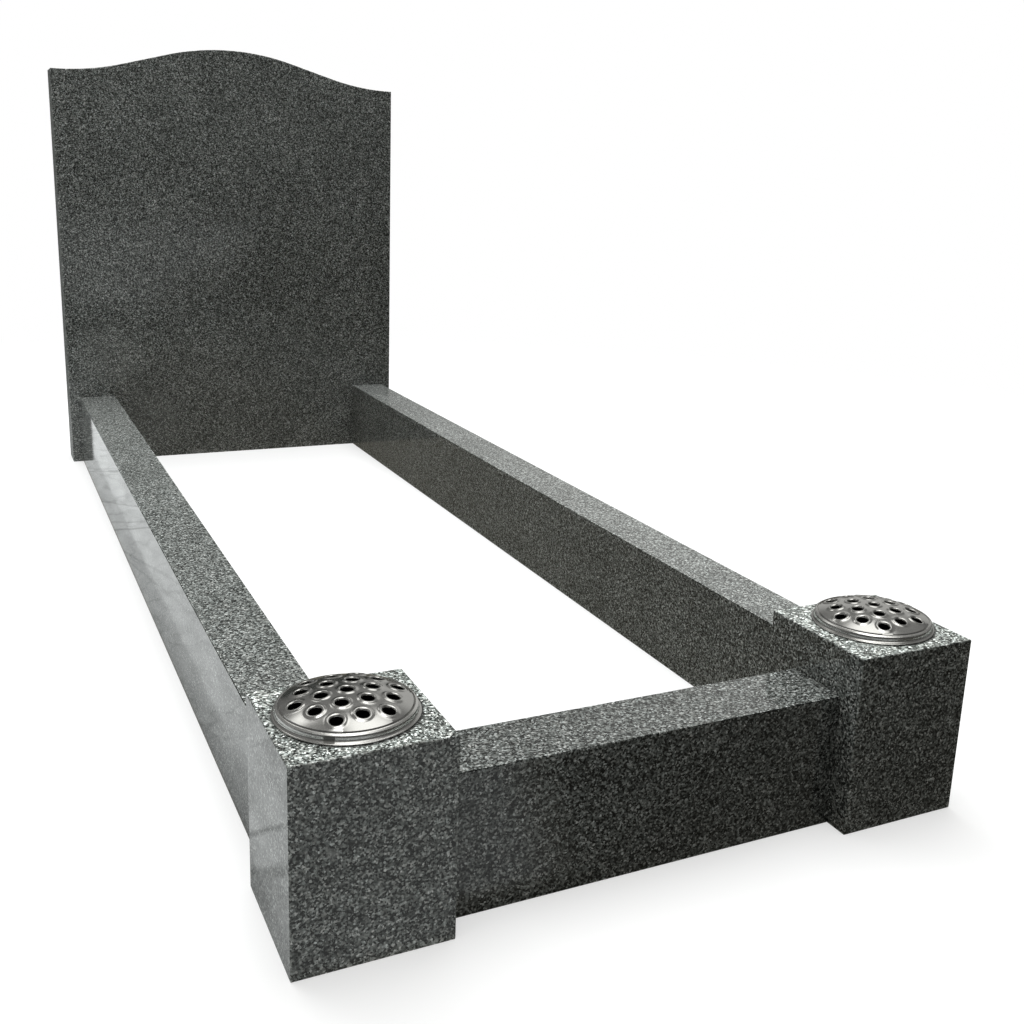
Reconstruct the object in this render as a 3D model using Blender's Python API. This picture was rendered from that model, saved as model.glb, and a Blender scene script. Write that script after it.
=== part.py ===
"""Kerbed memorial: a granite headstone with an ogee top, and a kerb set in front of it.

Two side kerbs run from the headstone to two square corner posts, and a front kerb
joins the posts. A metal flower container hangs in a bore in each post, and a
perforated domed lid rests on its rim.

Metres, +Z up. The set stands on Z = 0 with its footprint centred on the origin,
its front towards -Y and the headstone at +Y.
"""
import math

import bmesh
import bpy
from mathutils import Matrix

# Whole set
SET_LENGTH = 2.020          # back of the headstone to the fronts of the posts
GAP = 0.0003                # left between pieces that touch
ARRIS = 0.0015              # chamfer on every granite edge

# Headstone
STONE_WIDTH = 0.762
STONE_THICKNESS = 0.075
SHOULDER_HEIGHT = 0.8625
SHOULDER_FLAT = 0.008       # level stretch at each end of the ogee
OGEE_RISE = 0.064           # from the shoulders to the crown
OGEE_STRAIGHT = 0.101       # straight slope between the crown's arc and each flare
ARC_STEPS = 8               # facets in each quarter of the ogee

# Kerbs
KERB_HEIGHT = 0.150
KERB_WIDTH = 0.076
KERB_INSET = 0.021          # outer face, in from the headstone's edge
FRONT_KERB_WIDTH = 0.079
FRONT_SETBACK = 0.028       # front face, behind the fronts of the posts

# Flower containers
CONTAINER_RADIUS = 0.056
CONTAINER_WALL = 0.0015
CONTAINER_DEPTH = 0.130
CONTAINER_TURN = 0.004      # radius where the wall turns into the bottom
BRIM_REACH = 0.011          # how far the brim lies out over the post
BRIM_EDGE = 0.0012          # thickness of the brim's outer edge
UPSTAND_HEIGHT = 0.0077     # top of the rim above the post
UPSTAND_WALL = 0.0016
COVE = 0.0032               # hollow curve between the brim and the upstand

# Corner posts
POST_HEIGHT = 0.203
POST_WALL = 0.0185          # granite left on each side of a centred bore
POST_INSET = 0.004          # outer face, in from the headstone's edge
BORE_CLEARANCE = 0.0015     # around the container
BORE_SPARE_DEPTH = 0.004    # under the container
BORE_OFFSETS = {"left": (-0.001, 0.005), "right": (0.007, 0.005)}

# Lids
LID_SHEET = 0.0012
LID_CLEARANCE = 0.0006      # between the lid's skirt and the container's rim
LID_SKIRT = 0.0030          # how far the skirt hangs inside the rim
LIP_WIDTH = 0.0024          # level edge outside the dome
DOME_RISE = 0.0132
DOME_POWER = 3.0            # 2 gives a parabola, more gives a flatter crown
DOME_STEPS = 6
HOLE_RADIUS = 0.0066
HOLE_PITCH = 0.0240
HOLE_RINGS = 2              # hexagonal rings of holes around the middle one
LID_TURN = math.radians(2)
TURNED_SIDES = 40
HOLE_SIDES = 12

# Sizes that follow from those above
BORE_RADIUS = CONTAINER_RADIUS + BORE_CLEARANCE
POST_SIDE = 2 * (BORE_RADIUS + POST_WALL)
BRIM_RADIUS = CONTAINER_RADIUS + BRIM_REACH
UPSTAND_RADIUS = BRIM_RADIUS - COVE
MOUTH_RADIUS = UPSTAND_RADIUS - UPSTAND_WALL
SKIRT_RADIUS = MOUTH_RADIUS - LID_CLEARANCE
DOME_RADIUS = UPSTAND_RADIUS - LIP_WIDTH
FRONT_Y = -SET_LENGTH / 2
STONE_FRONT_Y = SET_LENGTH / 2 - STONE_THICKNESS
POST_BACK_Y = FRONT_Y + POST_SIDE
POST_CENTRE_X = STONE_WIDTH / 2 - POST_INSET - POST_SIDE / 2
POST_CENTRE_Y = FRONT_Y + POST_SIDE / 2
SIDES = {"left": -1, "right": 1}


def clear_scene():
    for item in list(bpy.data.objects):
        bpy.data.objects.remove(item, do_unlink=True)


def make_material(name, colour, roughness, metallic):
    material = bpy.data.materials.new(name)
    material.use_nodes = True
    shader = material.node_tree.nodes["Principled BSDF"]
    shader.inputs["Base Color"].default_value = (*colour, 1)
    shader.inputs["Roughness"].default_value = roughness
    shader.inputs["Metallic"].default_value = metallic
    return material


def granite(name):
    return make_material(name + "_granite", (0.075, 0.080, 0.076), 0.25, 0)


def spun_metal(name):
    return make_material(name + "_metal", (0.62, 0.61, 0.59), 0.28, 1)


def add_object(name, bm, material, location=(0, 0, 0)):
    mesh = bpy.data.meshes.new(name)
    bmesh.ops.recalc_face_normals(bm, faces=bm.faces[:])
    bm.to_mesh(mesh)
    bm.free()
    if material:
        mesh.materials.append(material)
    item = bpy.data.objects.new(name, mesh)
    item.location = location
    bpy.context.scene.collection.objects.link(item)
    return item


def ease_edges(item):
    bevel = item.modifiers.new("arris", "BEVEL")
    bevel.width = ARRIS
    bevel.segments = 1
    bevel.limit_method = "ANGLE"
    bevel.angle_limit = math.radians(40)


def cut(item, cutter):
    cutter.hide_render = True
    cutter.display_type = "WIRE"
    boolean = item.modifiers.new("cut", "BOOLEAN")
    boolean.operation = "DIFFERENCE"
    boolean.solver = "EXACT"
    boolean.object = cutter


def granite_block(name, low, high):
    """A squared block between two corners, with its origin in the middle of its underside."""
    size = [b - a for a, b in zip(low, high)]
    bm = bmesh.new()
    bmesh.ops.create_cube(bm, size=1, matrix=Matrix.Diagonal((*size, 1)) @ Matrix.Translation((0, 0, 0.5)))
    middle = ((low[0] + high[0]) / 2, (low[1] + high[1]) / 2, low[2])
    item = add_object(name, bm, granite(name), middle)
    ease_edges(item)
    return item


def turned(name, profile, material, location):
    """A round piece: the (radius, height) profile goes from the axis around and back to the axis."""
    bm = bmesh.new()
    points = [bm.verts.new((radius, 0, height)) for radius, height in profile]
    edges = [bm.edges.new(pair) for pair in zip(points, points[1:])]
    bmesh.ops.spin(bm, geom=points + edges, cent=(0, 0, 0), axis=(0, 0, 1), angle=math.tau,
                   steps=TURNED_SIDES, use_duplicate=False)
    bmesh.ops.remove_doubles(bm, verts=bm.verts[:], dist=0.00001)
    item = add_object(name, bm, material, location)
    item.data.shade_smooth()
    item.data.set_sharp_from_angle(angle=math.radians(35))
    return item


def arc(centre, radius, start, end, steps):
    """Points on an arc, both ends included, with the angles in degrees."""
    angles = [math.radians(start + (end - start) * i / steps) for i in range(steps + 1)]
    return [(centre[0] + radius * math.cos(a), centre[1] + radius * math.sin(a)) for a in angles]


def ogee_half():
    """The right half of the headstone's top, from the crown down to the shoulder's flat.

    The crown and the flare are equal arcs with a straight slope between them. Their
    radius follows from the half span, the rise and the length of that slope.
    """
    span = STONE_WIDTH / 2 - SHOULDER_FLAT
    both_radii = (span ** 2 + OGEE_RISE ** 2 - OGEE_STRAIGHT ** 2) / (2 * OGEE_RISE)
    radius = both_radii / 2
    lean = math.atan2(both_radii - OGEE_RISE, span)
    slope = math.degrees(math.asin(both_radii / math.hypot(span, both_radii - OGEE_RISE)) - lean)
    crown_height = SHOULDER_HEIGHT + OGEE_RISE
    crown = arc((0, crown_height - radius), radius, 90, 90 - slope, ARC_STEPS)
    flare = arc((span, SHOULDER_HEIGHT + radius), radius, 270 - slope, 270, ARC_STEPS)
    return crown + flare


def make_headstone():
    half = ogee_half()
    right = half + [(STONE_WIDTH / 2, SHOULDER_HEIGHT), (STONE_WIDTH / 2, 0)]
    left = [(-x, z) for x, z in reversed(right)]
    outline = left[:-1] + right
    bm = bmesh.new()
    front = bm.faces.new([bm.verts.new((x, 0, z)) for x, z in outline])
    back = bmesh.ops.extrude_face_region(bm, geom=[front])["geom"]
    moved = [v for v in back if isinstance(v, bmesh.types.BMVert)]
    bmesh.ops.translate(bm, verts=moved, vec=(0, STONE_THICKNESS, 0))
    item = add_object("headstone", bm, granite("headstone"), (0, STONE_FRONT_Y, 0))
    ease_edges(item)


def make_kerbs():
    for side, sign in SIDES.items():
        outer = STONE_WIDTH / 2 - KERB_INSET
        edges = sorted((sign * outer, sign * (outer - KERB_WIDTH)))
        low = (edges[0], POST_BACK_Y + GAP, 0)
        high = (edges[1], STONE_FRONT_Y - GAP, KERB_HEIGHT)
        granite_block("kerb_" + side, low, high)
    reach = POST_CENTRE_X - POST_SIDE / 2 - GAP
    face = FRONT_Y + FRONT_SETBACK
    granite_block("kerb_front", (-reach, face, 0), (reach, face + FRONT_KERB_WIDTH, KERB_HEIGHT))


def bore_centre(side):
    """Middle of a post's bore, where the post's top is."""
    offset = BORE_OFFSETS[side]
    return (SIDES[side] * POST_CENTRE_X + offset[0], POST_CENTRE_Y + offset[1], POST_HEIGHT)


def make_post(side):
    half = POST_SIDE / 2
    x = SIDES[side] * POST_CENTRE_X
    post = granite_block("post_" + side, (x - half, POST_CENTRE_Y - half, 0),
                         (x + half, POST_CENTRE_Y + half, POST_HEIGHT))
    depth = CONTAINER_DEPTH + BORE_SPARE_DEPTH
    overshoot = 0.01
    bm = bmesh.new()
    bmesh.ops.create_cone(bm, cap_ends=True, segments=TURNED_SIDES, radius1=BORE_RADIUS,
                          radius2=BORE_RADIUS, depth=depth + overshoot,
                          matrix=Matrix.Translation((0, 0, (overshoot - depth) / 2)))
    cut(post, add_object("bore_cutter_" + side, bm, None, bore_centre(side)))


def container_profile():
    """Heights are measured from the post's top."""
    bottom = -CONTAINER_DEPTH
    inside = CONTAINER_RADIUS - CONTAINER_WALL
    turn = CONTAINER_TURN
    edge_top = GAP + BRIM_EDGE
    profile = [(0, bottom)]
    profile += arc((CONTAINER_RADIUS - turn, bottom + turn), turn, 270, 360, 3)
    profile += [(CONTAINER_RADIUS, GAP), (BRIM_RADIUS, GAP)]
    profile += arc((BRIM_RADIUS, edge_top + COVE), COVE, 270, 180, 4)
    profile += [(UPSTAND_RADIUS, UPSTAND_HEIGHT), (MOUTH_RADIUS, UPSTAND_HEIGHT)]
    profile += [(MOUTH_RADIUS, edge_top), (inside, edge_top)]
    inner_turn = turn - CONTAINER_WALL
    profile += arc((CONTAINER_RADIUS - turn, bottom + turn), inner_turn, 360, 270, 3)
    profile += [(0, bottom + CONTAINER_WALL)]
    return profile


def dome_height(radius):
    """Height of the lid's outer surface above its lip."""
    return DOME_RISE * (1 - (radius / DOME_RADIUS) ** DOME_POWER)


def lid_profile():
    """Heights are measured from the post's top."""
    lip_under = UPSTAND_HEIGHT + GAP
    lip_top = lip_under + LID_SHEET
    skirt_inside = SKIRT_RADIUS - LID_SHEET
    outer = [DOME_RADIUS * i / DOME_STEPS for i in range(DOME_STEPS + 1)]
    inner = [skirt_inside * i / DOME_STEPS for i in range(DOME_STEPS, -1, -1)]
    profile = [(r, lip_top + dome_height(r)) for r in outer]
    profile += [(UPSTAND_RADIUS, lip_top), (UPSTAND_RADIUS, lip_under)]
    profile += [(SKIRT_RADIUS, lip_under), (SKIRT_RADIUS, lip_under - LID_SKIRT)]
    profile += [(skirt_inside, lip_under - LID_SKIRT)]
    profile += [(r, lip_under + dome_height(r)) for r in inner]
    return profile


def hole_places():
    """Middles of the lid's holes: hexagonal rings around one in the middle."""
    places = []
    for row in range(-HOLE_RINGS, HOLE_RINGS + 1):
        for column in range(-HOLE_RINGS, HOLE_RINGS + 1):
            if abs(row + column) <= HOLE_RINGS:
                places.append(((column + row / 2) * HOLE_PITCH, row * math.sin(math.pi / 3) * HOLE_PITCH))
    return places


def make_container_and_lid(side):
    centre = bore_centre(side)
    name = "flower_container_" + side
    turned(name, container_profile(), spun_metal(name), centre)
    name = "flower_lid_" + side
    lid = turned(name, lid_profile(), spun_metal(name), centre)
    height = 4 * (UPSTAND_HEIGHT + DOME_RISE)
    bm = bmesh.new()
    for x, y in hole_places():
        bmesh.ops.create_cone(bm, cap_ends=True, segments=HOLE_SIDES, radius1=HOLE_RADIUS,
                              radius2=HOLE_RADIUS, depth=height, matrix=Matrix.Translation((x, y, 0)))
    cutter = add_object("hole_cutter_" + side, bm, None, centre)
    for item in (lid, cutter):
        item.rotation_euler = (0, 0, LID_TURN)
    cut(lid, cutter)


clear_scene()
make_headstone()
make_kerbs()
for post_side in SIDES:
    make_post(post_side)
    make_container_and_lid(post_side)
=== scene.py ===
"""Looks of the kerbed memorial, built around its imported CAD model.

Polished dark grey granite stones with eased arrises, and two spun metal flower
containers under perforated domed lids. Metres, in the row frame.
"""

import math

import bmesh
import bpy
from mathutils import Matrix, Quaternion, Vector
from mathutils.geometry import delaunay_2d_cdt


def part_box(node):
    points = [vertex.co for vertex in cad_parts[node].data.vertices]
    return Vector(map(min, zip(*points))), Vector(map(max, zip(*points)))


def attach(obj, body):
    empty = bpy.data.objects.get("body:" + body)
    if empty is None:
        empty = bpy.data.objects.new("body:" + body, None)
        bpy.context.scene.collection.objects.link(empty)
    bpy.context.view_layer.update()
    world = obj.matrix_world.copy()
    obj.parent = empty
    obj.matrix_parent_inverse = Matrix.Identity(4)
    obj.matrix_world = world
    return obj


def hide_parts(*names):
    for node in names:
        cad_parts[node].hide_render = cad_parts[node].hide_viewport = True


# Camera, solved from the photograph's edges. Lengths in the image are in pixels.
IMAGE_SIDE = 1024
SENSOR = 36
FOCAL_LENGTH = 1160.8390
IMAGE_CENTRE = (532.9491, 469.0816)
CAMERA_PLACE = (-0.585845, -1.856780, 0.672911)
CAMERA_TURN = (0.77083103, 0.59603955, -0.15223299, -0.16547354)
CAMERA_NEAREST = 0.02

# Stones
SIDES = {"left": -1, "right": 1}
ARRIS = 0.0013
ARRIS_SEGMENTS = 3
SHARP = math.radians(40)
ALIGNED = 0.99
SMOOTHING_WEIGHT = 80
SHOULDER_FLAT = 0.008
OGEE_RISE = 0.064
OGEE_STRAIGHT = 0.101
OGEE_STEPS = 24
BORE_RADIUS = 0.0575
BORE_DEPTH = 0.134
BORE_OVERSHOOT = 0.01

# Flower containers. Heights are measured from the post's top.
GAP = 0.0003
CONTAINER_RADIUS = 0.056
CONTAINER_WALL = 0.0015
CONTAINER_DEPTH = 0.130
CONTAINER_TURN = 0.004
TURN_STEPS = 6
BRIM_EDGE = 0.0012
BRIM_ROUND = 0.0003
COVE = 0.0032
COVE_START = 0.0004
COVE_ARC = (262, 184)
COVE_STEPS = 8
UPSTAND_RADIUS = 0.0638
UPSTAND_HEIGHT = 0.0077
UPSTAND_ROUND = 0.0001
MOUTH_RADIUS = 0.0622
ROUND_STEPS = 180
CONTAINER_SHARP = math.radians(45)

# Lids
LID_SHEET = 0.0012
LIP_UNDER = UPSTAND_HEIGHT + GAP
LIP_TOP = LIP_UNDER + LID_SHEET
LIP_EDGE = UPSTAND_HEIGHT + 0.00005
LIP_CREST = 0.0616
LIP_FALL = 0.0013
LIP_STEPS = 7
LIP_POWER = 1.3
SKIRT_RADIUS = 0.0616
SKIRT_DEPTH = 0.0030
SKIRT_ROOT = 0.0004
GROOVE_FLOOR = LIP_TOP - 0.0009
DOME_RADIUS = 0.0614
DOME_RISE = 0.0122
DOME_POWER = 2.2
DOME_EDGE = 0.0596
HOLE_PITCH = 0.0240
HOLE_RINGS = 2
HOLE_RADIUS = 0.0058
HOLE_SIDES = 40
HEXAGON_ROW = math.sin(math.pi / 3)
COLLAR_TURN = 0.0018
COLLAR_TURN_STEPS = 5
COLLAR_CREST = HOLE_RADIUS + COLLAR_TURN
COLLAR_RADIUS = 0.0107
COLLAR_HEIGHT = 0.0009
COLLAR_STEPS = 9
FILL_PITCH = 0.0018
FILL_RINGS = 3
LID_TURN = math.radians(2)
LID_SHARP = math.radians(50)
HOLE_INSIDE = 0.995

# The groove at a dome's foot: radius, and height above the groove's floor
GROOVE = ((0.0600, 0.0004), (0.0603, 0), (0.0608, 0), (0.0611, 0.0005), (0.0613, 0.0007))

# How near two places or lengths are when they count as one
NEAR = 0.000002

# Bright places that the polished faces mirror: azimuth from +Y towards +X, elevation, inner and outer
# radius, all in degrees, and radiance
GLOWS = (
    (0, 88, 5, 14, 3.4),
    (42, 63, 6, 17, 1.5),
    (-12, 47, 2, 9, 1.6),
    (43, 13, 10, 26, 0.38),
    (180, 68, 14, 30, 1.5),
)

# Dim walls of the studio: start and end of a fade over height or depth, and the values there
WALL_HEIGHT = (0.25, 0.6, 0.16, 0.24)
WALL_DEPTH = (-0.3, 0.1, 0.5, 1)
WALL_COLOUR = (1.0, 0.992, 0.96, 1)
WHITE = (1, 1, 1, 1)

# Name, place, width and length, watts and colour
LIGHTS = (
    ("overhead", (-0.3, 1.0, 4.6), (3.6, 4.6), 340, (0.970, 0.992, 1.0)),
    ("left", (-4.0, -1.4, 2.2), (3.0, 3.0), 18, (1.0, 0.97, 0.90)),
)
LIGHT_AIM = (0, 0, 0.2)


def make_camera():
    data = bpy.data.cameras.new("camera")
    data.sensor_width = SENSOR
    data.lens = SENSOR * FOCAL_LENGTH / IMAGE_SIDE
    middle = (IMAGE_SIDE - 1) / 2
    data.shift_x = (middle - IMAGE_CENTRE[0]) / IMAGE_SIDE
    data.shift_y = (IMAGE_CENTRE[1] - middle) / IMAGE_SIDE
    data.clip_start = CAMERA_NEAREST
    camera = bpy.data.objects.new("camera", data)
    camera.location = CAMERA_PLACE
    camera.rotation_mode = "QUATERNION"
    camera.rotation_quaternion = Quaternion(CAMERA_TURN)
    bpy.context.scene.collection.objects.link(camera)
    bpy.context.scene.camera = camera


class Nodes:
    """Adds shader nodes. A value is a number, a tuple or another node's output."""

    def __init__(self, owner):
        owner.use_nodes = True
        self.tree = owner.node_tree
        self.tree.nodes.clear()

    def add(self, kind, inputs=None, output=0, **settings):
        item = self.tree.nodes.new(kind)
        for key, value in settings.items():
            setattr(item, key, value)
        for key, value in (inputs or {}).items():
            if isinstance(value, bpy.types.NodeSocket):
                self.tree.links.new(value, item.inputs[key])
            else:
                item.inputs[key].default_value = value
        return item.outputs[output]

    def math(self, operation, *values):
        return self.add("ShaderNodeMath", dict(enumerate(values)), operation=operation)

    def vector(self, operation, *values, output=0):
        return self.add("ShaderNodeVectorMath", dict(enumerate(values)), output, operation=operation)

    def mix(self, factor, a, b, kind="MIX"):
        return self.add("ShaderNodeMix", {0: factor, 6: a, 7: b}, 2, data_type="RGBA", blend_type=kind)

    def mix_values(self, factor, a, b):
        return self.add("ShaderNodeMix", {0: factor, 2: a, 3: b}, data_type="FLOAT")

    def part(self, value, axis):
        return self.add("ShaderNodeSeparateXYZ", {0: value}, axis)

    def length(self, value):
        return self.vector("LENGTH", value, output=1)

    def flat(self, value):
        return self.vector("MULTIPLY", value, (1, 1, 0))

    def join(self, x, y):
        return self.add("ShaderNodeCombineXYZ", {0: x, 1: y})

    def span(self, value, low, high, to_low, to_high, smooth=False):
        kind = "SMOOTHSTEP" if smooth else "LINEAR"
        return self.add("ShaderNodeMapRange", {0: value, 1: low, 2: high, 3: to_low, 4: to_high},
                        interpolation_type=kind)

    def ramp(self, factor, stops):
        output = self.add("ShaderNodeValToRGB", {0: factor})
        elements = output.node.color_ramp.elements
        while len(elements) < len(stops):
            elements.new(0.5)
        for element, (position, colour) in zip(elements, stops):
            element.position = position
            element.color = (*colour, 1)
        return output

    def noise(self, place, scale, detail, roughness=0.5, output=0):
        inputs = {"Vector": place, "Scale": scale, "Detail": detail, "Roughness": roughness}
        return self.add("ShaderNodeTexNoise", inputs, output)

    def cells(self, place, scale):
        return self.add("ShaderNodeTexVoronoi", {"Vector": place, "Scale": scale}, "Color")

    def bump(self, height, distance, **more):
        inputs = {"Strength": 1.0, "Distance": distance, "Height": height}
        return self.add("ShaderNodeBump", {**inputs, **more})

    def scale(self, colour, amount):
        return self.add("ShaderNodeVectorMath", {0: colour, "Scale": amount}, operation="SCALE")

    def surface(self, shader, kind="ShaderNodeOutputMaterial"):
        output = self.tree.nodes.new(kind)
        self.tree.links.new(shader, output.inputs["Surface"])


# The range that most of a noise's values lie in
MOST = (0.3, 0.7)

# Granite: cells and noises across a metre, sizes in metres, roughness and colours. Each fade is a start,
# an end and the values there.
GRAINS = 545
CLUSTERS = 240
CLOUDS = 9
RIPPLES = 740
RIPPLE_SIZE = 0.0013
WAVES = 6
WAVE_HEIGHT = 0.0006
PITS = 480
PIT_DEPTH = 0.00002
GRAIN_SHARE = 0.80
CLUSTER_SHARE = 0.50
MINERAL_SHIFT = -0.15
CLOUD_FADE = (*MOST, -0.03, 0.03)
DULLER_GRAIN = 0.06
DULLER_SPAN = (0.2, 0.8)
EASED = 0.3
SAWN = 0.5
DUST = (0.42, 0.43, 0.425, 1)
DUST_LEVEL = (0.7, 0.95)
DUST_FAR = (0.0, 0.9, 1, 3)
SMUDGE = (0.120, 0.123, 0.120)
SMUDGE_ROUGHNESS = 0.4
SMUDGE_EDGE = (0.5, 1.1)
SMUDGE_RAGGED = (*MOST, -0.25, 0.25)
# Painted shadow: a dark line on a post's top around its container's brim, strongest towards the front
# right
PAINTED_SHADOW = (0.012, 0.012, 0.012, 1)
PAINTED_SHADOW_LINE = (0.0682, 0.0705)
PAINTED_SHADOW_TOWARDS = (0.5, -0.85, 0)
PAINTED_SHADOW_FADE = (-0.07, 0.05, 0.25, 0.85)
WARM_TINT = (1.0, 0.985, 0.955, 1)
COOL_TINT = (0.955, 1.0, 0.985, 1)

# The granite's grain, from its darkest mineral to its palest
MINERALS = (
    (0.00, (0.006, 0.007, 0.006)),
    (0.24, (0.013, 0.014, 0.013)),
    (0.42, (0.064, 0.068, 0.065)),
    (0.58, (0.122, 0.128, 0.124)),
    (0.76, (0.230, 0.239, 0.233)),
    (0.90, (0.440, 0.449, 0.447)),
    (1.00, (0.718, 0.729, 0.730)),
)

# How light the headstone's faces, arrises and sawn sides are, and its roughness
HEADSTONE_LIFT = 0.96
HEADSTONE_ARRIS = 1.2
HEADSTONE_SIDE = 0.8
HEADSTONE_POLISH = 0.05

# How light each kerb is, its roughness, and how dusty its top is
KERBS = {
    "kerb_left": (1.03, 0.02, 0.025),
    "kerb_right": (1.09, 0.03, 0.045),
    "kerb_front": (0.77, 0.05, 0.005),
}
KERB_ARRIS = 1.7

# How light each post's sides and its top are
POSTS = {"left": (1.05, 2.35), "right": (1.00, 2.75)}
POST_ARRIS = 1.3
POST_POLISH = 0.02
TOP_POLISH = 0.35
TOP_CONTRAST = 1.2

# Dull smudges and paler stretches: middle, radii, strength
HEADSTONE_MARKS = (
    ((0.0, 0.935, 0.0), (0.70, 0.02, 0.34), 0.20),
    ((0.0, 0.935, 0.92), (0.70, 0.02, 0.30), 0.12),
    ((-0.290, 0.935, 0.245), (0.080, 0.02, 0.080), 0.26),
    ((-0.210, 0.935, 0.080), (0.100, 0.02, 0.100), 0.26),
    ((-0.100, 0.935, 0.006), (0.022, 0.02, 0.007), 0.9),
)
POST_MARKS = (((-0.3385, -1.010, 0.1145), (0.0075, 0.02, 0.0045), 0.8),)


def granite(name, offset, lift, polish, contrast=1.0, dust=0.0, marks=(), ring=None):
    """Fine-grained granite. Lift lightens it, polish is its roughness and contrast sets the grain apart.

    Dust lightens and dulls the level faces, and lies thicker towards the headstone.

    Marks are dull smudges: middle, radii and strength. Ring is the middle of a container, with a painted
    shadow line around it, darkest towards the front right.
    """
    material = bpy.data.materials.new(name)
    n = Nodes(material)
    own = n.add("ShaderNodeTexCoord", output="Object")
    place = n.vector("ADD", own, offset)
    ripple = n.vector("SUBTRACT", n.noise(place, RIPPLES, 1, output="Color"), (0.5, 0.5, 0.5))
    warped = n.vector("MULTIPLY_ADD", ripple, (RIPPLE_SIZE, RIPPLE_SIZE, RIPPLE_SIZE), place)
    grain = n.add("ShaderNodeSeparateColor", {0: n.cells(warped, GRAINS)})
    tint = grain.node.outputs[1]
    cluster = n.noise(place, CLUSTERS, 2)
    cloud = n.noise(place, CLOUDS, 3)
    clustered = n.math("MULTIPLY_ADD", cluster, CLUSTER_SHARE, MINERAL_SHIFT)
    mineral = n.math("MULTIPLY_ADD", grain, GRAIN_SHARE, clustered)
    mineral = n.math("ADD", mineral, n.span(cloud, *CLOUD_FADE))
    colour = n.ramp(mineral, MINERALS)
    colour = n.mix(1.0, colour, n.mix(tint, WARM_TINT, COOL_TINT), "MULTIPLY")
    colour = n.add("ShaderNodeGamma", {0: colour, 1: contrast})
    colour = n.scale(colour, lift)
    rough = n.span(mineral, *DULLER_SPAN, polish + min(DULLER_GRAIN, polish), polish)
    if dust:
        upward = n.part(n.add("ShaderNodeNewGeometry", output="Normal"), 2)
        far = n.span(n.part(own, 1), *DUST_FAR)
        level = n.math("MULTIPLY", n.span(upward, *DUST_LEVEL, 0, dust, True), far)
        colour = n.mix(level, colour, DUST)
        rough = n.math("ADD", rough, level)
    for middle, radii, strength in marks:
        away = n.vector("DIVIDE", n.vector("SUBTRACT", own, middle), radii)
        ragged = n.math("ADD", n.length(away), n.span(cluster, *SMUDGE_RAGGED))
        mark = n.span(ragged, *SMUDGE_EDGE, strength, 0, True)
        colour = n.vector("MULTIPLY_ADD", SMUDGE, mark, colour)
        rough = n.math("ADD", rough, n.math("MULTIPLY", mark, SMUDGE_ROUGHNESS))
    # Painted shadow: the post's top darkens in a thin line around the container's brim, mostly towards
    # the front right
    if ring:
        away = n.flat(n.vector("SUBTRACT", own, (*ring, 0)))
        shaded = n.span(n.vector("DOT_PRODUCT", away, PAINTED_SHADOW_TOWARDS, output=1), *PAINTED_SHADOW_FADE)
        line = n.span(n.length(away), *PAINTED_SHADOW_LINE, 1, 0, True)
        colour = n.mix(n.math("MULTIPLY", line, shaded), colour, PAINTED_SHADOW)
    fine = n.noise(warped, PITS, 1)
    wave = n.noise(place, WAVES, 1)
    bump = n.bump(fine, PIT_DEPTH, Normal=n.bump(wave, WAVE_HEIGHT))
    inputs = {"Base Color": colour, "Roughness": rough, "Normal": bump}
    n.surface(n.add("ShaderNodeBsdfPrincipled", inputs))
    return material


# Spun metal: rings and clouds across a metre, then each metal's colour and roughness
RINGS = 1500
RING_DEPTH = 0.000002
RING_TONE = 0.03
METAL_CLOUDS = 45
CLOUD_TONES = (*MOST, 0.9, 1.0)
RING_ROUGHNESS = (*MOST, -0.03, 0.03)
CLOUD_ROUGHNESS = (0.35, 0.65, -0.03, 0.04)
CONTAINER_METAL = ((0.60, 0.60, 0.585), 0.25)
# Painted shade: the container's inside is the same metal darkened, where little light reaches through the
# lid
CONTAINER_INSIDE_SHADE = ((0.10, 0.10, 0.10), 0.55)
LID_METAL = ((0.61, 0.61, 0.595), 0.18)
# Painted shade: the lid's underside and its holes' turned-down edges are the same metal darkened
LID_UNDERSIDE_SHADE = ((0.05, 0.05, 0.05), 0.6)
# Painted highlight: the lip is the lid's metal made paler, for the bright line along its edge
LID_LIP_HIGHLIGHT = ((0.82, 0.82, 0.80), 0.25)

# The dull spot on the left container: place from the bore's middle, and the soft edges of its radius
# and half height
SPOT_PLACE = (-0.0324, -0.0550, 0.0044)
SPOT_RADIUS = (0.0046, 0.0056)
SPOT_HEIGHT = (0.0026, 0.0032)
SPOT_COLOUR = (0.20, 0.20, 0.19, 1)
SPOT_ROUGHNESS = 0.3


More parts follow.
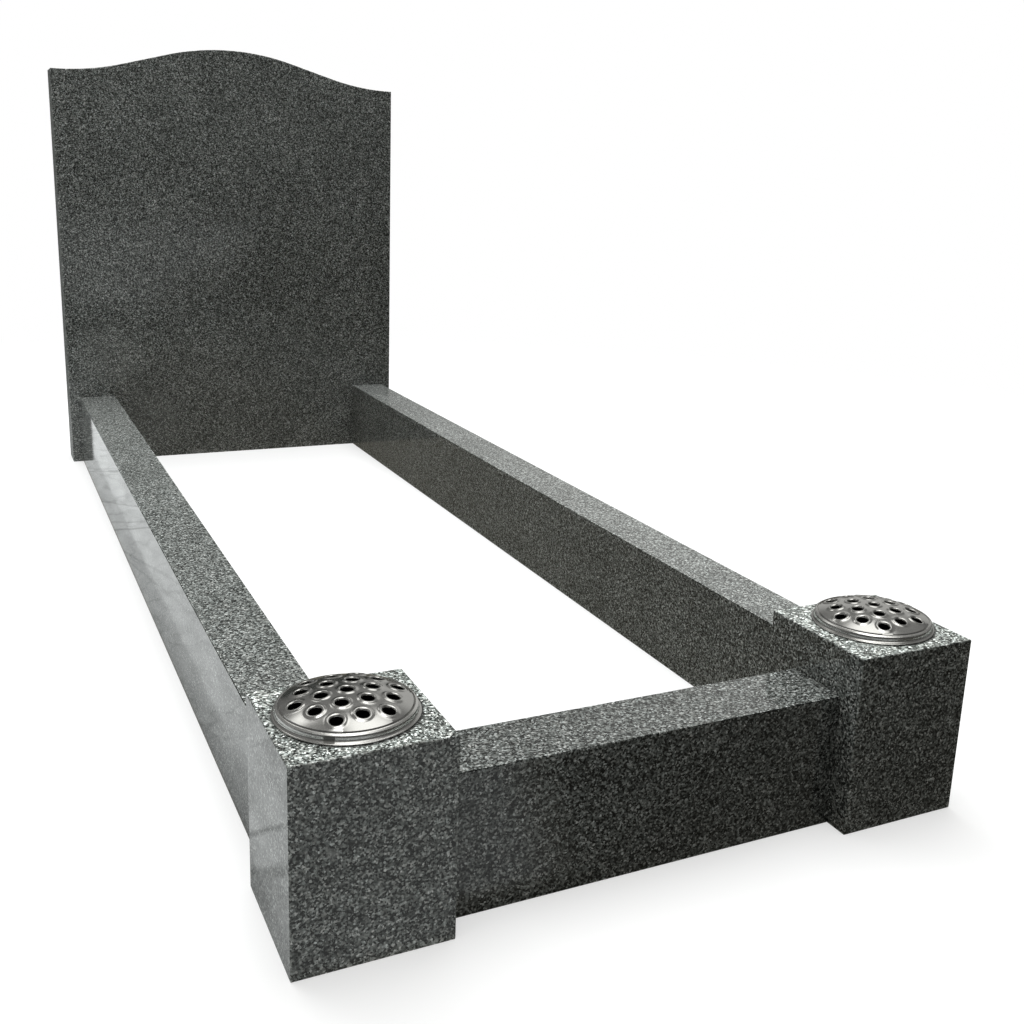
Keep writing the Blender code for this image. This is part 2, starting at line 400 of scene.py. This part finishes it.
def metal(name, centre, colour, roughness, patch=None):
    """Spun sheet metal: fine rings around its axis, and a satin polish that varies a little.

    Patch is the middle of a dull dark spot.
    """
    material = bpy.data.materials.new(name)
    n = Nodes(material)
    place = n.vector("SUBTRACT", n.add("ShaderNodeTexCoord", output="Object"), (*centre, 0))
    rings = n.noise(n.join(n.length(n.flat(place)), n.part(place, 2)), RINGS, 3, 0.7)
    cloud = n.noise(place, METAL_CLOUDS, 3)
    tone = n.math("MULTIPLY_ADD", n.span(rings, *MOST, -1, 1), RING_TONE, n.span(cloud, *CLOUD_TONES))
    base = n.scale(colour, tone)
    rough = n.math("ADD", n.span(cloud, *CLOUD_ROUGHNESS), n.span(rings, *RING_ROUGHNESS))
    rough = n.math("ADD", rough, roughness)
    if patch:
        away = n.vector("ABSOLUTE", n.vector("SUBTRACT", place, patch))
        dull = n.math("MULTIPLY", n.span(n.length(n.flat(away)), *SPOT_RADIUS, 1, 0, True),
                      n.span(n.part(away, 2), *SPOT_HEIGHT, 1, 0, True))
        base = n.mix(dull, base, SPOT_COLOUR)
        rough = n.math("ADD", rough, n.math("MULTIPLY", dull, SPOT_ROUGHNESS))
    bump = n.bump(rings, RING_DEPTH)
    inputs = {"Base Color": base, "Roughness": rough, "Metallic": 1.0, "Normal": bump}
    n.surface(n.add("ShaderNodeBsdfPrincipled", inputs))
    return material


def add_object(name, mesh, materials, node=None):
    item = bpy.data.objects.new(name, mesh)
    bpy.context.scene.collection.objects.link(item)
    for material in materials:
        mesh.materials.append(material)
    if node:
        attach(item, "root")
        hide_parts(node)
    return item


def shade(item):
    """Smooth arrises beside faces that stay flat."""
    item.data.shade_smooth()
    weighted = item.modifiers.new("normals", "WEIGHTED_NORMAL")
    weighted.mode = "FACE_AREA"
    weighted.weight = SMOOTHING_WEIGHT


def runs_along(edge, axis):
    return abs((edge.verts[0].co - edge.verts[1].co).normalized().dot(axis)) > ALIGNED


def ease(bm, axis=None):
    """Rounds every arris, or those along an axis alone. Their faces take the second material."""
    sharp = [e for e in bm.edges if e.is_manifold and e.calc_face_angle() > SHARP]
    if axis:
        sharp = [e for e in sharp if runs_along(e, axis)]
    made = bmesh.ops.bevel(bm, geom=sharp, offset=ARRIS, segments=ARRIS_SEGMENTS, profile=0.5,
                           affect="EDGES")
    for face in made["faces"]:
        face.material_index = 1


def block(low, high, axis=None):
    bm = bmesh.new()
    size = high - low
    place = Matrix.Translation((low + high) / 2) @ Matrix.Diagonal((*size, 1))
    bmesh.ops.create_cube(bm, size=1, matrix=place)
    ease(bm, axis)
    return bm


def to_mesh(name, bm):
    bmesh.ops.recalc_face_normals(bm, faces=bm.faces[:])
    mesh = bpy.data.meshes.new(name)
    bm.to_mesh(mesh)
    bm.free()
    return mesh


def arc(centre, radius, start, end, steps):
    angles = [math.radians(start + (end - start) * i / steps) for i in range(steps + 1)]
    return [(centre[0] + radius * math.cos(a), centre[1] + radius * math.sin(a)) for a in angles]


def ogee_half(half_width, shoulder):
    """The right half of the headstone's top, from the crown down to the shoulder's flat."""
    span = half_width - SHOULDER_FLAT
    both_radii = (span ** 2 + OGEE_RISE ** 2 - OGEE_STRAIGHT ** 2) / (2 * OGEE_RISE)
    radius = both_radii / 2
    lean = math.atan2(both_radii - OGEE_RISE, span)
    slope = math.degrees(math.asin(both_radii / math.hypot(span, both_radii - OGEE_RISE)) - lean)
    crown = arc((0, shoulder + OGEE_RISE - radius), radius, 90, 90 - slope, OGEE_STEPS)
    flare = arc((span, shoulder + radius), radius, 270 - slope, 270, OGEE_STEPS)
    return crown + flare


def make_headstone():
    low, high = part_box("headstone")
    half_width = high.x
    shoulder = high.z - OGEE_RISE
    right = ogee_half(half_width, shoulder) + [(half_width, shoulder), (half_width, 0)]
    left = [(-x, z) for x, z in reversed(right)]
    outline = left[:-1] + right
    bm = bmesh.new()
    front = bm.faces.new([bm.verts.new((x, low.y, z)) for x, z in outline])
    back = bmesh.ops.extrude_face_region(bm, geom=[front])["geom"]
    moved = [v for v in back if isinstance(v, bmesh.types.BMVert)]
    bmesh.ops.translate(bm, verts=moved, vec=(0, high.y - low.y, 0))
    bmesh.ops.recalc_face_normals(bm, faces=bm.faces[:])
    ease(bm)
    for face in bm.faces:
        if abs(face.normal.x) > ALIGNED:
            face.material_index = 2
    offset = (0.3, 1.7, 0.2)
    materials = [granite("granite_headstone", offset, HEADSTONE_LIFT, HEADSTONE_POLISH,
                         marks=HEADSTONE_MARKS),
                 granite("granite_headstone_arris", offset, HEADSTONE_ARRIS, EASED),
                 granite("granite_headstone_side", offset, HEADSTONE_SIDE, SAWN)]
    shade(add_object("stone_headstone", to_mesh("stone_headstone", bm), materials,
                     "headstone"))


def make_kerbs():
    """Kerbs with eased long arrises and square ends, where they butt against other stones."""
    for number, name in enumerate(KERBS):
        offset = (1.1 + number, 0.4, 0.7 * number)
        lift, polish, dust = KERBS[name]
        materials = [granite("granite_" + name, offset, lift, polish, dust=dust),
                     granite("granite_" + name + "_arris", offset, lift * KERB_ARRIS, EASED)]
        axis = Vector((1, 0, 0)) if name == "kerb_front" else Vector((0, 1, 0))
        mesh = to_mesh("stone_" + name, block(*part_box(name), axis))
        shade(add_object("stone_" + name, mesh, materials, name))


def apply_cut(item, cutter):
    boolean = item.modifiers.new("cut", "BOOLEAN")
    boolean.operation = "DIFFERENCE"
    boolean.solver = "EXACT"
    boolean.object = cutter
    bpy.context.view_layer.update()
    seen = item.evaluated_get(bpy.context.evaluated_depsgraph_get())
    mesh = bpy.data.meshes.new_from_object(seen)
    item.modifiers.clear()
    item.data = mesh
    bpy.data.objects.remove(cutter)


def make_post(side):
    name = "post_" + side
    low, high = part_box(name)
    centre = bore_centre(side)
    bm = block(low, high)
    for face in bm.faces:
        if face.normal.z > ALIGNED and face.calc_center_median().z > high.z - NEAR:
            face.material_index = 2
    offset = (2.3, 5.1 + SIDES[side], 0.9)
    marks = POST_MARKS if side == "left" else ()
    lift, top_lift = POSTS[side]
    materials = [granite("granite_" + name, offset, lift, POST_POLISH, marks=marks),
                 granite("granite_" + name + "_arris", offset, POST_ARRIS, EASED),
                 granite("granite_" + name + "_top", offset, top_lift, TOP_POLISH, TOP_CONTRAST,
                         ring=centre.xy)]
    post = add_object("stone_" + name, to_mesh("stone_" + name, bm), materials, name)
    bm = bmesh.new()
    middle = (centre.x, centre.y, high.z + (BORE_OVERSHOOT - BORE_DEPTH) / 2)
    bmesh.ops.create_cone(bm, cap_ends=True, segments=ROUND_STEPS, radius1=BORE_RADIUS,
                          radius2=BORE_RADIUS, depth=BORE_DEPTH + BORE_OVERSHOOT,
                          matrix=Matrix.Translation(middle))
    for face in bm.faces:
        face.material_index = 1
    cutter = add_object("bore_" + side, to_mesh("bore_" + side, bm), materials)
    apply_cut(post, cutter)
    shade(post)


def bore_centre(side):
    """Middle of a post's bore, at the height of the post's top."""
    low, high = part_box("flower_container_" + side)
    return Vector(((low.x + high.x) / 2, (low.y + high.y) / 2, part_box("post_" + side)[1].z))


def turn(bm, profile, centre, first=None, last=None):
    """Sweeps a profile of radius and height around the axis, from and to a ring where one is given."""
    rings = []
    for radius, height in profile:
        if radius < NEAR:
            rings.append([bm.verts.new((centre.x, centre.y, centre.z + height))] * ROUND_STEPS)
            continue
        ring = []
        for i in range(ROUND_STEPS):
            a = math.tau * i / ROUND_STEPS
            ring.append(bm.verts.new((centre.x + radius * math.cos(a), centre.y + radius * math.sin(a),
                                      centre.z + height)))
        rings.append(ring)
    if first:
        rings.insert(0, first)
    if last:
        rings.append(last)
    return [bridge(bm, one, two) for one, two in zip(rings, rings[1:])]


def bridge(bm, one, two):
    faces = []
    for i in range(len(one)):
        j = (i + 1) % len(one)
        corners = []
        for v in (one[i], one[j], two[j], two[i]):
            if v not in corners:
                corners.append(v)
        faces.append(bm.faces.new(corners))
    return faces


def container_profile():
    bottom = -CONTAINER_DEPTH
    inside = CONTAINER_RADIUS - CONTAINER_WALL
    brim = UPSTAND_RADIUS + COVE
    edge_top = GAP + BRIM_EDGE
    corner = (CONTAINER_RADIUS - CONTAINER_TURN, bottom + CONTAINER_TURN)
    shell = [(0, bottom)] + arc(corner, CONTAINER_TURN, 270, 360, TURN_STEPS)
    shell += [(CONTAINER_RADIUS, GAP), (brim - BRIM_ROUND, GAP), (brim, GAP + BRIM_ROUND)]
    shell += [(brim, edge_top - COVE_START)] + arc((brim, edge_top + COVE), COVE, *COVE_ARC, COVE_STEPS)
    shell += [(UPSTAND_RADIUS, UPSTAND_HEIGHT - UPSTAND_ROUND)]
    shell += [(UPSTAND_RADIUS - UPSTAND_ROUND, UPSTAND_HEIGHT)]
    inner = [(MOUTH_RADIUS, UPSTAND_HEIGHT), (MOUTH_RADIUS, edge_top), (inside, edge_top)]
    inner += arc(corner, CONTAINER_TURN - CONTAINER_WALL, 360, 270, TURN_STEPS)
    inner += [(0, bottom + CONTAINER_WALL)]
    return shell, inner


def make_container(side):
    centre = bore_centre(side)
    name = "flower_container_" + side
    bm = bmesh.new()
    shell, inner = container_profile()
    bands = turn(bm, shell + inner, centre)
    # The inner faces take the darkened metal, painted shade
    for band in bands[len(shell):]:
        for face in band:
            face.material_index = 1
    patch = Vector((0, 0, centre.z)) + Vector(SPOT_PLACE) if side == "left" else None
    materials = [metal("metal_" + name, centre.xy, *CONTAINER_METAL, patch),
                 metal("metal_" + name + "_inside", centre.xy, *CONTAINER_INSIDE_SHADE)]
    item = add_object("vase_" + side, to_mesh("vase_" + side, bm), materials, name)
    item.data.shade_smooth()
    item.data.set_sharp_from_angle(angle=CONTAINER_SHARP)


def hole_places():
    """Middles of the lid's holes: hexagonal rings around one in the middle."""
    turned = Matrix.Rotation(LID_TURN, 2)
    places = []
    for row in range(-HOLE_RINGS, HOLE_RINGS + 1):
        for column in range(-HOLE_RINGS, HOLE_RINGS + 1):
            if abs(row + column) <= HOLE_RINGS:
                place = Vector(((column + row / 2) * HOLE_PITCH, row * HEXAGON_ROW * HOLE_PITCH))
                places.append(turned @ place)
    return places


def dome_height(point):
    """Height of the dome's outer surface above its lip."""
    return DOME_RISE * (1 - (point.length / DOME_RADIUS) ** DOME_POWER)


def collar_height(away):
    """Height of the raised rim around a hole, at a distance from the hole's middle."""
    along = min(1, max(0, (COLLAR_RADIUS - away) / (COLLAR_RADIUS - COLLAR_CREST)))
    return COLLAR_HEIGHT * math.sin(math.pi / 2 * along) ** 2


def circle(middle, radius, steps, shift=0):
    angles = [math.tau * (i + shift) / steps for i in range(steps)]
    return [middle + Vector((radius * math.cos(a), radius * math.sin(a))) for a in angles]


def lid_points(holes):
    """Points over the dome: rings at its edge and around each hole, and a fill between them."""
    axis = Vector((0, 0))
    points = circle(axis, DOME_EDGE, ROUND_STEPS)
    for hole in holes:
        for step in range(COLLAR_STEPS + 1):
            away = COLLAR_CREST + (COLLAR_RADIUS - COLLAR_CREST) * step / COLLAR_STEPS
            points += circle(hole, away, HOLE_SIDES, 0.5 * (step % 2))
    fill = []
    for ring in range(1, FILL_RINGS + 1):
        fill += circle(axis, DOME_EDGE - FILL_PITCH * ring, ROUND_STEPS // 2, 0.5 * (ring % 2))
    count = int(DOME_EDGE / FILL_PITCH) + 1
    for row in range(-count, count + 1):
        for column in range(-count, count + 1):
            point = Vector(((column + 0.5 * (row % 2)) * FILL_PITCH, row * HEXAGON_ROW * FILL_PITCH))
            if point.length < DOME_EDGE - FILL_PITCH * (FILL_RINGS + 1):
                fill.append(point)
    clear = COLLAR_RADIUS + FILL_PITCH / 2
    return points + [p for p in fill if min((p - hole).length for hole in holes) > clear]


def make_lid(side):
    centre = bore_centre(side)
    name = "flower_lid_" + side
    holes = hole_places()
    flat = delaunay_2d_cdt(lid_points(holes), [], [], 0, 1e-6)
    points = flat[0]
    triangles = []
    for corners in flat[2]:
        middle = sum((points[c] for c in corners), Vector((0, 0))) / 3
        if min((middle - hole).length for hole in holes) > COLLAR_CREST * HOLE_INSIDE:
            triangles.append(corners)
    bm = bmesh.new()
    above = []
    below = []
    for point in points:
        level = centre.z + dome_height(point)
        raised = sum(collar_height((point - hole).length) for hole in holes)
        above.append(bm.verts.new((centre.x + point.x, centre.y + point.y, level + LIP_TOP + raised)))
        below.append(bm.verts.new((centre.x + point.x, centre.y + point.y, level + LIP_UNDER)))
    for corners in triangles:
        bm.faces.new([above[c] for c in corners])
        bm.faces.new([below[c] for c in reversed(corners)]).material_index = 1
    for hole in holes:
        order = ring_order(points, hole, COLLAR_CREST)
        close_hole(bm, [points[i] for i in order], hole, centre,
                   [above[i] for i in order], [below[i] for i in order])
    close_rim(bm, above, below, points, centre)
    materials = [metal("metal_" + name, centre.xy, *LID_METAL),
                 metal("metal_" + name + "_inside", centre.xy, *LID_UNDERSIDE_SHADE),
                 metal("metal_" + name + "_lip", centre.xy, *LID_LIP_HIGHLIGHT)]
    item = add_object("lid_" + side, to_mesh("lid_" + side, bm), materials, name)
    item.data.shade_smooth()
    item.data.set_sharp_from_angle(angle=LID_SHARP)


def ring_order(points, hole, radius):
    """Indices of the points on a circle, in order around it."""
    found = [i for i, p in enumerate(points) if abs((p - hole).length - radius) < NEAR]
    return sorted(found, key=lambda i: math.atan2(points[i].y - hole.y, points[i].x - hole.x))


def close_hole(bm, points, hole, centre, above, below):
    """Turns a hole's raised rim over and down to the sheet's underside."""
    middle = (COLLAR_CREST, COLLAR_HEIGHT - COLLAR_TURN)
    turned = arc(middle, COLLAR_TURN, 90, 180, COLLAR_TURN_STEPS)
    rings = [above]
    for away, rise in turned[1:] + [(HOLE_RADIUS, -LID_SHEET)]:
        ring = []
        for point in points:
            place = hole + (point - hole).normalized() * away
            ring.append(bm.verts.new((centre.x + place.x, centre.y + place.y,
                                      centre.z + LIP_TOP + dome_height(place) + rise)))
        rings.append(ring)
    rings.append(below)
    bands = [bridge(bm, one, two) for one, two in zip(rings, rings[1:])]
    # The turned-down edge takes the darkened metal, painted shade
    for face in bands[-1] + bands[-2]:
        face.material_index = 1


def close_rim(bm, above, below, points, centre):
    """The groove at the dome's foot, the lip on the container's rim and the skirt inside it."""
    edge = ring_order(points, Vector((0, 0)), DOME_EDGE)
    start = next(i for i, k in enumerate(edge) if abs(points[k].y) < NEAR and points[k].x > 0)
    edge = edge[start:] + edge[:start]
    rim = UPSTAND_RADIUS
    inside = SKIRT_RADIUS - LID_SHEET
    profile = [(radius, GROOVE_FLOOR + rise) for radius, rise in GROOVE]
    profile += [(LIP_CREST, LIP_TOP)]
    first = len(profile)
    for step in range(1, LIP_STEPS + 1):
        share = step / LIP_STEPS
        profile.append((LIP_CREST + (rim - LIP_CREST) * share, LIP_TOP - LIP_FALL * share ** LIP_POWER))
    profile += [(rim, LIP_EDGE), (rim - LID_SHEET, LIP_EDGE), (SKIRT_RADIUS, LIP_UNDER),
                (SKIRT_RADIUS, LIP_UNDER - SKIRT_DEPTH), (inside, LIP_UNDER - SKIRT_DEPTH),
                (inside, LIP_UNDER - SKIRT_ROOT)]
    bands = turn(bm, profile, centre, [above[i] for i in edge], [below[i] for i in edge])
    # The lip takes the paler metal, a painted highlight
    for band in bands[first:first + LIP_STEPS]:
        for face in band:
            face.material_index = 2


# Floor and ground, in metres and radiance. Each fade is a start, an end and the values there.
DISC_SIDES = 96
FLOOR_RADIUS = 30
FLOOR_CLOUDS = 2.5
FLOOR_TONES = ((0.84, 0.84, 0.84, 1), (0.87, 0.87, 0.87, 1))
FLOOR_WHITE = (1.4, 3.0, 0.55, 1)
GROUND_RADIUS = 12
GROUND_DROP = 0.001
GROUND_DARK = 0.08
GROUND_COOL = (0.965, 0.995, 0.99, 1)
GROUND_WARM = (1.0, 0.95, 0.79, 1)

# The bed inside the kerbs, a little lighter than the dark ground around it, and where it ends
BED_LIGHTER = 0.10
BED_RIGHT = (0.29, 0.35, 1, 0)
BED_BEFORE = (-0.97, -0.93, 0, 1)

# The paler ground before the set's left part, and its slanting edge
BEFORE_TONE = 0.56
BEFORE_FRONT = (-1.03, -0.99, 1, 0)
BEFORE_SLOPE = 0.30
BEFORE_OFFSET = 0.395
BEFORE_SOFT = 0.05

# The pale ground to the left: where it starts and ends, the painted shade that darkens it at the stones'
# feet, which stand further out at the post, and the joint between two slabs
LEFT_START = (-0.364, -0.357, 1, 0)
LEFT_BEFORE = (-1.06, -1.0, 0, 1)
LEFT_ALONG = (-0.9, 1.0, 0.73, 0.99)
LEFT_END = (1.35, 1.7, 1, 0.18)
FOOT_ALONG = (-0.8, 0.5, 0.34, 0.85)
FOOT_AT_POST = (-0.95, -0.80, 0.24, 0)
FOOT_REACH = (-0.402, -0.360)
POST_STEP = (-0.86, -0.84, 0.017, 0)
SLAB_JOINT = (-0.3893, -0.3880)
SLAB_OUTER = 1.08
SLAB_INNER = (-0.5, 0.5, 0.94, 0.76)

# Its streaks and faint creases, which bend together
BEND_SIZE = (3, 2, 1)
BEND = 0.35
STREAKS = 14
STREAK_LENGTH = 5
STREAK_TONES = (*MOST, 0.86, 1.12)
FAINT_CREASES = 6
FAINT_LENGTH = 2
FAINT_TONES = (0, 0.018, 0.82, 1)

# Its strong creases: y at the joint, slope over x, half width and depth
CREASES = (
    (1.228, 0.0, 0.012, 0.22),
    (1.064, 0.9, 0.012, 0.20),
    (0.831, 0.3, 0.007, 0.24),
    (0.554, 1.0, 0.010, 0.30),
    (0.415, 0.3, 0.008, 0.24),
    (0.366, 0.1, 0.009, 0.34),
    (0.156, 3.2, 0.020, 0.24),
    (0.060, 5.0, 0.018, 0.22),
    (-0.543, 0.3, 0.006, 0.12),
    (-0.768, -0.1, 0.012, 0.40),
    (-0.836, 0.2, 0.017, 0.42),
)
CREASE_X = 0.385
CREASE_WAVES = 30
CREASE_WAVER = 0.02


def disc(name, radius, height, material):
    bm = bmesh.new()
    bmesh.ops.create_circle(bm, cap_ends=True, segments=DISC_SIDES, radius=radius)
    bmesh.ops.translate(bm, verts=bm.verts[:], vec=(0, 0, height))
    return add_object(name, to_mesh(name, bm), [material])


def make_floor():
    """A pale floor that runs out into white, with soft contact shadows."""
    material = bpy.data.materials.new("floor")
    n = Nodes(material)
    place = n.add("ShaderNodeTexCoord", output="Object")
    colour = n.mix(n.span(n.noise(place, FLOOR_CLOUDS, 3), *MOST, 0, 1), *FLOOR_TONES)
    lit = n.add("ShaderNodeBsdfDiffuse", {"Color": colour})
    white = n.add("ShaderNodeEmission", {"Color": WHITE, "Strength": 1.0})
    far = n.span(n.length(place), *FLOOR_WHITE, True)
    n.surface(n.add("ShaderNodeMixShader", {0: far, 1: lit, 2: white}))
    floor = disc("floor", FLOOR_RADIUS, 0, material)
    floor.visible_diffuse = False
    floor.visible_glossy = False
    floor.visible_shadow = False


def left_ground(n, place, x, y):
    """Radiance of the pale ground to the left of the set."""
    across = n.math("MULTIPLY_ADD", n.noise(n.vector("MULTIPLY", place, BEND_SIZE), 1, 2), BEND, y)
    streaks = n.noise(n.join(n.math("MULTIPLY", x, STREAK_LENGTH), across), STREAKS, 3)
    creases = n.noise(n.join(n.math("MULTIPLY", x, FAINT_LENGTH), across), FAINT_CREASES, 2)
    crease = n.span(n.math("ABSOLUTE", n.math("SUBTRACT", creases, 0.5)), *FAINT_TONES, True)
    # Painted shade: the ground darkens near the stones' feet, reaching further out at the post
    foot = n.math("ADD", n.span(y, *FOOT_ALONG), n.span(y, *FOOT_AT_POST))
    tone = n.span(n.math("ADD", x, n.span(y, *POST_STEP)), *FOOT_REACH, 1, foot)
    tone = n.math("MULTIPLY", tone, n.span(y, *LEFT_ALONG))
    tone = n.math("MULTIPLY", tone, n.span(x, *SLAB_JOINT, SLAB_OUTER, n.span(y, *SLAB_INNER)))
    tone = n.math("MULTIPLY", tone, n.span(y, *LEFT_END, True))
    tone = n.math("MULTIPLY", tone, crease)
    waver = n.noise(place, CREASE_WAVES, 2)
    wavy = n.math("MULTIPLY_ADD", waver, CREASE_WAVER, n.math("SUBTRACT", y, CREASE_WAVER / 2))
    for middle, slope, width, depth in CREASES:
        line = n.math("MULTIPLY_ADD", n.math("ADD", x, CREASE_X), -slope, wavy)
        away = n.math("ABSOLUTE", n.math("SUBTRACT", line, middle))
        tone = n.math("MULTIPLY", tone, n.span(away, 0, width, 1 - depth, 1, True))
    return n.math("MULTIPLY", tone, n.span(streaks, *STREAK_TONES))


def make_ground():
    """What the stones mirror: ground that is pale to the left of the set and dark in and around it."""
    material = bpy.data.materials.new("ground")
    n = Nodes(material)
    place = n.add("ShaderNodeTexCoord", output="Object")
    x = n.part(place, 0)
    y = n.part(place, 1)
    bed = n.math("MULTIPLY", n.span(x, *BED_RIGHT, True), n.span(y, *BED_BEFORE, True))
    tone = n.math("MULTIPLY_ADD", bed, BED_LIGHTER, GROUND_DARK)
    edge = n.math("MULTIPLY_ADD", y, BEFORE_SLOPE, n.math("ADD", x, BEFORE_OFFSET))
    before = n.math("MULTIPLY", n.span(y, *BEFORE_FRONT, True),
                    n.span(edge, -BEFORE_SOFT, BEFORE_SOFT, 1, 0, True))
    tone = n.mix_values(before, tone, BEFORE_TONE)
    beside = n.math("MULTIPLY", n.span(x, *LEFT_START, True), n.span(y, *LEFT_BEFORE, True))
    tone = n.mix_values(beside, tone, left_ground(n, place, x, y))
    colour = n.mix(n.math("MAXIMUM", beside, before), GROUND_WARM, GROUND_COOL)
    n.surface(n.add("ShaderNodeEmission", {"Color": colour, "Strength": tone}))
    ground = disc("ground", GROUND_RADIUS, -GROUND_DROP, material)
    ground.visible_camera = False
    ground.visible_shadow = False


def make_lights():
    """A soft light overhead and a weaker one from the left. Neither shows in the polished faces."""
    for name, place, size, energy, colour in LIGHTS:
        data = bpy.data.lights.new(name, "AREA")
        data.shape = "RECTANGLE"
        data.size, data.size_y = size
        data.energy = energy
        data.color = colour
        light = bpy.data.objects.new(name, data)
        light.location = place
        light.rotation_euler = (Vector(LIGHT_AIM) - Vector(place)).to_track_quat("-Z", "Y").to_euler()
        light.visible_glossy = False
        bpy.context.scene.collection.objects.link(light)


def make_world():
    """Dim studio walls, and soft glows where the stones and lids of the photo mirror something bright."""
    world = bpy.data.worlds.new("studio")
    bpy.context.scene.world = world
    n = Nodes(world)
    sky = n.add("ShaderNodeTexCoord", output="Generated")
    tone = n.math("MULTIPLY", n.span(n.part(sky, 2), *WALL_HEIGHT, True),
                  n.span(n.part(sky, 1), *WALL_DEPTH, True))
    for azimuth, elevation, inner, outer, radiance in GLOWS:
        raised = Matrix.Rotation(math.radians(elevation), 3, "X") @ Vector((0, 1, 0))
        towards = Matrix.Rotation(math.radians(-azimuth), 3, "Z") @ raised
        along = n.vector("DOT_PRODUCT", sky, tuple(towards), output=1)
        low = math.cos(math.radians(outer))
        high = math.cos(math.radians(inner))
        tone = n.math("ADD", tone, n.span(along, low, high, 0, radiance, True))
    seen = n.add("ShaderNodeLightPath", output="Is Camera Ray")
    inputs = {"Color": n.mix(seen, WALL_COLOUR, WHITE), "Strength": n.math("MAXIMUM", tone, seen)}
    n.surface(n.add("ShaderNodeBackground", inputs), "ShaderNodeOutputWorld")


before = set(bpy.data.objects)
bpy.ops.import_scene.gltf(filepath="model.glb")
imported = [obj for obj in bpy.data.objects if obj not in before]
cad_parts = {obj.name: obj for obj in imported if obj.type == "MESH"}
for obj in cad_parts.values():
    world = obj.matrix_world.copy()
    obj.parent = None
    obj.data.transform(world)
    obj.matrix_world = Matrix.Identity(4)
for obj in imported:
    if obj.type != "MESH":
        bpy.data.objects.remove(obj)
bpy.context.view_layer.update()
bpy.context.scene.view_settings.view_transform = "Standard"
make_camera()
make_world()
make_lights()
make_floor()
make_ground()
make_headstone()
make_kerbs()
for post_side in SIDES:
    make_post(post_side)
    make_container(post_side)
    make_lid(post_side)
